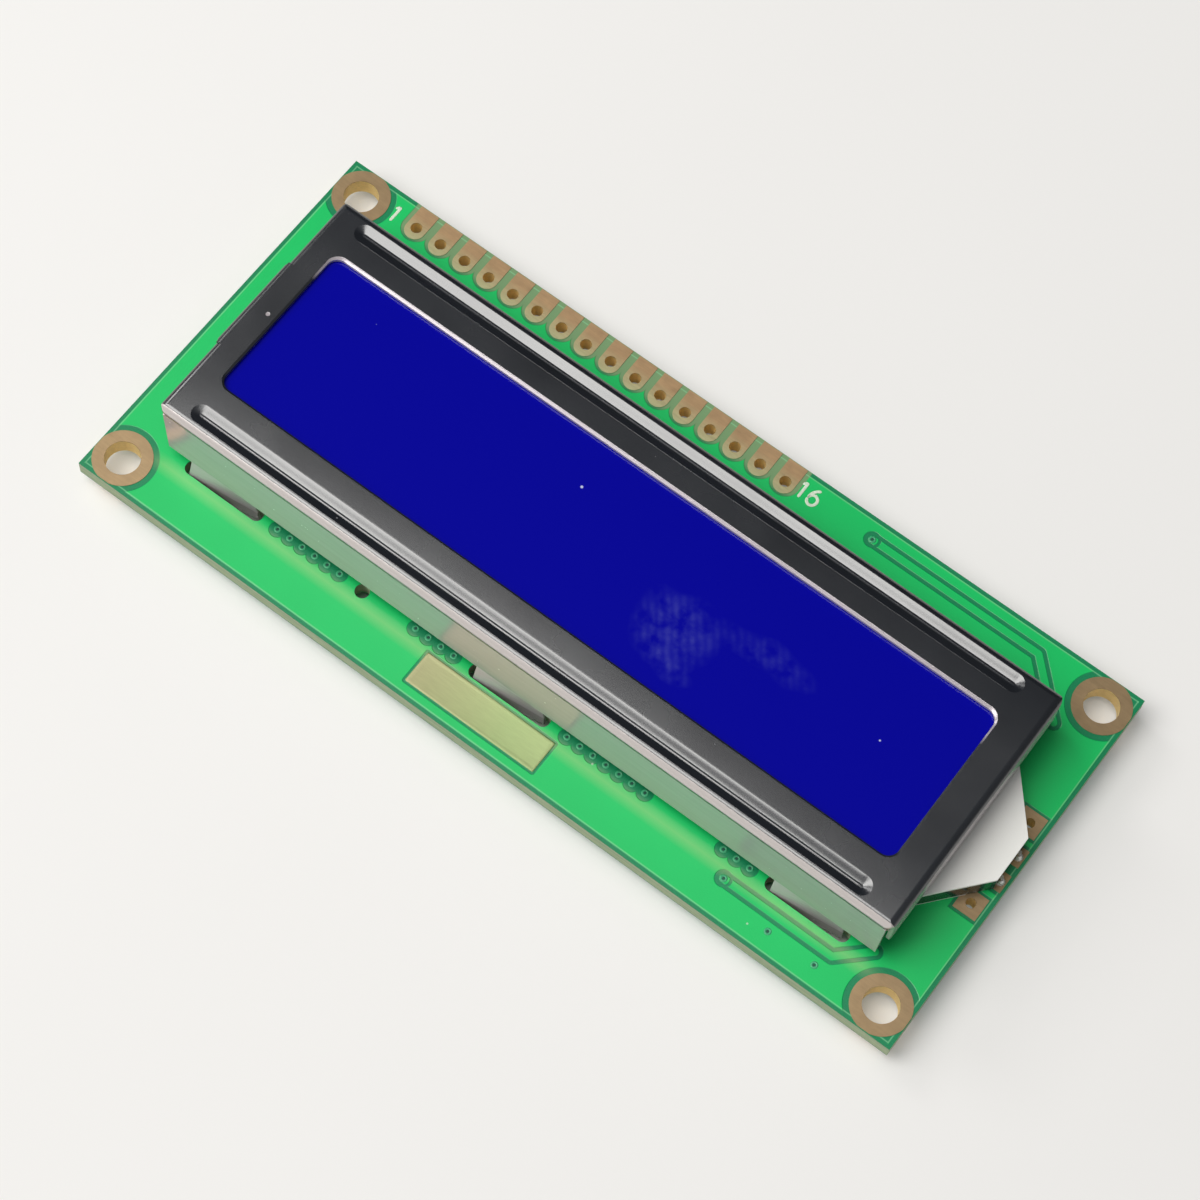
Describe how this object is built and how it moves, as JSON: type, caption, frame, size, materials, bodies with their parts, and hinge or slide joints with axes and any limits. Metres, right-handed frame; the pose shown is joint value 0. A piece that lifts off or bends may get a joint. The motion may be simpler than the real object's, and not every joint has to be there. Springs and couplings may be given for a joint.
{
  "type": "character LCD module",
  "caption": "Character display module: green circuit board with a header row and corner holes, carrying a folded black bezel round a deep blue liquid-crystal window.",
  "frame": {"origin": "on the circuit board's upper face, in the middle of its four fixing holes", "axes": "+X along the board towards the backlight's end, +Y across it towards the header row, +Z out of the display, towards the reader"},
  "size_m": [0.08, 0.036, 0.0095],
  "materials": {
    "board": "glossy green solder mask over glass-epoxy laminate, pale green bare edges",
    "gilt": "thin tan-gold plating over copper, soft sheen with brushed streaks",
    "bezel_sheet": "satin black coat on the face and the folds, bare bright metal on the walls and tabs",
    "blue_polarizer": "smooth deep blue film, faint dust and a fingerprint",
    "grey_polarizer": "smooth grey film",
    "cell_glass": "clear with polished faces and a green cut edge",
    "cell_seal": "thin translucent seal",
    "zebra_rubber": "striped grey and black silicone rubber",
    "diffuser": "frosted white film",
    "clear_acrylic": "clear moulded acrylic with a dotted underside",
    "white_film": "matt white film with a brighter cut edge",
    "lamp_body": "white reflector cup with a yellow phosphor face",
    "tinned_lead": "tinned lead, dull with drawing marks",
    "solder": "bright solder, slightly grained",
    "silicon": "bare silicon",
    "black_resin": "black potting resin with a soft uneven gloss",
    "resistor_body": "black glazed top over a white ceramic core",
    "capacitor_body": "tan ceramic"
  },
  "bodies": {
    "root": {"circuit_board": "board", "mounting_pads": "gilt", "header_pads": "gilt", "backlight_pads": "gilt", "contact_fingers": "gilt", "bezel": "bezel_sheet", "front_polarizer": "blue_polarizer", "front_glass": "cell_glass", "cell_seal": "cell_seal", "rear_glass": "cell_glass", "rear_polarizer": "grey_polarizer", "zebra_strip_front": "zebra_rubber", "zebra_strip_back": "zebra_rubber", "diffuser_film": "diffuser", "light_guide": "clear_acrylic", "reflector_film": "white_film", "tongue_film": "white_film", "backlight_lamp": "lamp_body", "lamp_leads": "tinned_lead", "lamp_solder": "solder", "controller_chip": "silicon", "controller_cap": "black_resin", "driver_chip": "silicon", "driver_cap": "black_resin", "ladder_resistors": "resistor_body", "timing_resistors": "resistor_body", "backlight_resistors": "resistor_body", "capacitors": "capacitor_body", "chip_solder": "solder"}
  },
  "joints": []
}
